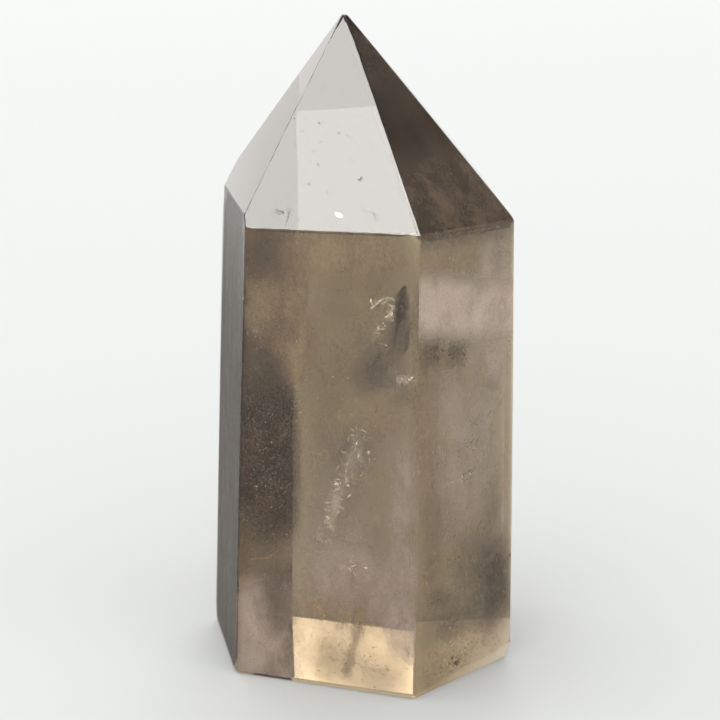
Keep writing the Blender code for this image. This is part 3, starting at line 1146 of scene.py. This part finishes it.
    surface_dust: SpeckPiece = SpeckPiece(
        SpeckFinish("surface_dust", "#c4bfba", "#948e88", roughness=0.9, patch_size=0.5),
        (
            Swarm((-5.4, -12.6, 59.78), (0.5, 0.02, 0.14), 12, 0.1, 0.34, **DUST),
            Swarm((-4.2, -12.6, 59.7), (0.12, 0.02, 0.5), 12, 0.14, 0.4, **DUST),
            Swarm((3.6, -10.13, 63.77), (0.08, 0.02, 0.12), 5, 0.14, 0.34, **DUST),
            Swarm((6.0, -12.3, 61.0), (0.9, 0.02, 0.7), 12, 0.06, 0.16, **DUST),
            Swarm((0.0, -9.1, 65.2), (5.0, 0.02, 5.0), 90, 0.05, 0.14, **DUST),
        ),
        seed=29,
    )

    def build(self, interior: Interior) -> list[bpy.types.Object]:
        """Build every piece inside the stone, smoke first."""
        return [getattr(self, piece.name).build(interior) for piece in fields(self)]


@dataclass
class PhotoCamera:
    """The camera at the photograph's viewing angle."""

    aim: tuple[float, float, float] = (0.14, -0.90, 37.5)
    distance: float = 360.6
    azimuth: float = 19.06
    elevation: float = 22.19
    roll: float = -0.83
    lens: float = 150.0

    def place(self) -> bpy.types.Object:
        """Add the camera and make it the scene's."""
        turn, lift = math.radians(self.azimuth), math.radians(self.elevation)
        back = Vector((math.sin(turn) * math.cos(lift), -math.cos(turn) * math.cos(lift), math.sin(lift)))
        right = Vector((math.cos(turn), math.sin(turn), 0.0))
        up = back.cross(right)
        spin = Matrix.Rotation(math.radians(self.roll), 3, "Z")
        pose = Matrix((right, up, back)).transposed() @ spin
        data = bpy.data.cameras.new("photo_camera")
        data.lens = self.lens
        data.sensor_width = 36.0
        data.clip_start = 0.01
        camera = bpy.data.objects.new("photo_camera", data)
        bpy.context.scene.collection.objects.link(camera)
        place = (Vector(self.aim) + back * self.distance) * MM
        camera.matrix_world = Matrix.Translation(place) @ pose.to_4x4()
        bpy.context.scene.camera = camera
        return camera


class Seen(Enum):
    """What a light shows up in."""

    EVERYWHERE = "all that it lights"
    MIRRORED = "polished faces and what they let through"
    OUTER_MIRROR = "the outside of polished faces only"


@dataclass(frozen=True)
class Softbox:
    """A soft light that stands in a direction from the stone and shines at it."""

    name: str
    heading: float
    above_level: float
    distance: float
    size: float
    radiance: float
    height_share: float = 1.0
    spin: float = 0.0
    colour: str = "#ffffff"
    shape: str = "RECTANGLE"
    seen: Seen = Seen.EVERYWHERE
    aim_height: float = 0.045

    def place(self) -> None:
        """Add the light, with the power that gives its face this radiance."""
        data = bpy.data.lights.new(self.name, "AREA")
        data.shape = self.shape
        data.size = self.size
        data.size_y = self.size * self.height_share
        data.energy = self.radiance * math.pi * self.size**2 * self.height_share
        data.color = linear(self.colour)[:3]
        light = bpy.data.objects.new(self.name, data)
        light.visible_diffuse = self.seen is Seen.EVERYWHERE
        light.visible_transmission = self.seen is not Seen.OUTER_MIRROR
        bpy.context.scene.collection.objects.link(light)
        aim = Vector((0.0, 0.0, self.aim_height))
        away = Vector(unit(self.heading, self.above_level))
        spin = Matrix.Rotation(math.radians(self.spin), 4, "Z")
        turn = away.to_track_quat("Z", "Y").to_matrix().to_4x4() @ spin
        light.matrix_world = Matrix.Translation(aim + away * self.distance) @ turn


@dataclass
class Studio:
    """A plain pale floor, a soft pale surround and soft lights."""

    floor_radius: float = 4.0
    floor_colour: str = "#e6e8e7"
    surround_colour: tuple[float, float, float] = (0.81, 0.81, 0.805)
    surround_strength: float = 1.36
    card_strength: float = 0.54
    card_cosines: tuple[float, float] = (0.86, 0.97)
    dark_card: tuple[float, float] = (38.5, 37.0)
    softboxes: tuple[Softbox, ...] = (
        Softbox("key_softbox", -123.0, 47.0, 0.8, 0.2, 11.2, colour="#fffef8", seen=Seen.MIRRORED),
        Softbox(
            "window_softbox", -117.7, 45.9, 0.8, 0.104, 2.6, 1.31, 28.0, "#fffdf5", seen=Seen.OUTER_MIRROR
        ),
        Softbox(
            "small_lamp", -121.4, 45.8, 0.8, 0.004, 34.0, 0.4, 0.0, "#fff0d8", "ELLIPSE", Seen.OUTER_MIRROR
        ),
        Softbox("back_wall", 106.0, 28.0, 1.2, 0.7, 2.65, height_share=0.55),
        Softbox("side_card", 135.4, 6.2, 0.75, 0.26, 1.3, height_share=0.96, colour="#fffaf5"),
    )

    def floor(self) -> bpy.types.Object:
        """A wide disc: points on circles of growing radius, a function of angle and radius."""
        angles = np.linspace(0.0, 2.0 * math.pi, 64, endpoint=False)
        radii = np.array([0.0, 0.25, 1.0]) * self.floor_radius
        grid = radii[:, None, None] * np.stack([np.cos(angles), np.sin(angles), 0.0 * angles], axis=-1)[None]
        faces = quad_grid(len(radii), len(angles), closed=True)
        floor = new_mesh_object("studio_floor", grid.reshape(-1, 3), faces, smooth=False)
        material, _, shader = new_material("pale_floor")
        shader.inputs["Base Color"].default_value = linear(self.floor_colour)
        make_matt(shader)
        floor.data.materials.append(material)
        return floor

    def surround(self) -> None:
        """A soft grey world with one darker patch, like a black card, that keeps the tip's right dark."""
        world = bpy.data.worlds.new("studio")
        world.use_nodes = True
        background = world.node_tree.nodes["Background"]
        aim = add_node(world.node_tree, "ShaderNodeTexCoord").outputs["Generated"]
        towards = {0: aim, 1: tuple(unit(*self.dark_card))}
        nearness = add_node(
            world.node_tree, "ShaderNodeVectorMath", towards, operation="DOT_PRODUCT"
        ).outputs["Value"]
        edge = {"Value": nearness, "From Min": self.card_cosines[0], "From Max": self.card_cosines[1]}
        strength = {"To Min": self.surround_strength, "To Max": self.card_strength}
        glow = add_node(
            world.node_tree, "ShaderNodeMapRange", {**edge, **strength}, interpolation_type="SMOOTHSTEP"
        )
        world.node_tree.links.new(glow.outputs[0], background.inputs["Strength"])
        background.inputs["Color"].default_value = (*self.surround_colour, 1.0)
        bpy.context.scene.world = world

    def build(self) -> None:
        """Add the floor, the surround and the lights."""
        self.floor()
        self.surround()
        for box in self.softboxes:
            box.place()
        scene = bpy.context.scene
        scene.view_settings.view_transform = "Standard"
        scene.cycles.max_bounces = 40
        scene.cycles.glossy_bounces = 32
        scene.cycles.transmission_bounces = 32
        scene.cycles.transparent_max_bounces = 32
        scene.cycles.diffuse_bounces = 4


def main() -> None:
    """Build the stone, what it holds and its studio, and report each piece."""
    logging.basicConfig(level=logging.INFO, format="%(name)s: %(message)s")
    shape = StoneShape()
    stone = shape.build()
    stone.data.materials.append(PolishedSmokyQuartz().make())
    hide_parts(STONE_NODE)
    normals = np.array([facet.normal for facet in shape.facets])
    interior = Interior(normals, np.array([facet.offset for facet in shape.facets]))
    for piece in (stone, *Inclusions().build(interior)):
        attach(piece, BODY)
        LOG.info("%s: %d faces", piece.name, len(piece.data.polygons))
    Studio().build()
    PhotoCamera().place()


if __name__ == "__main__":
    main()
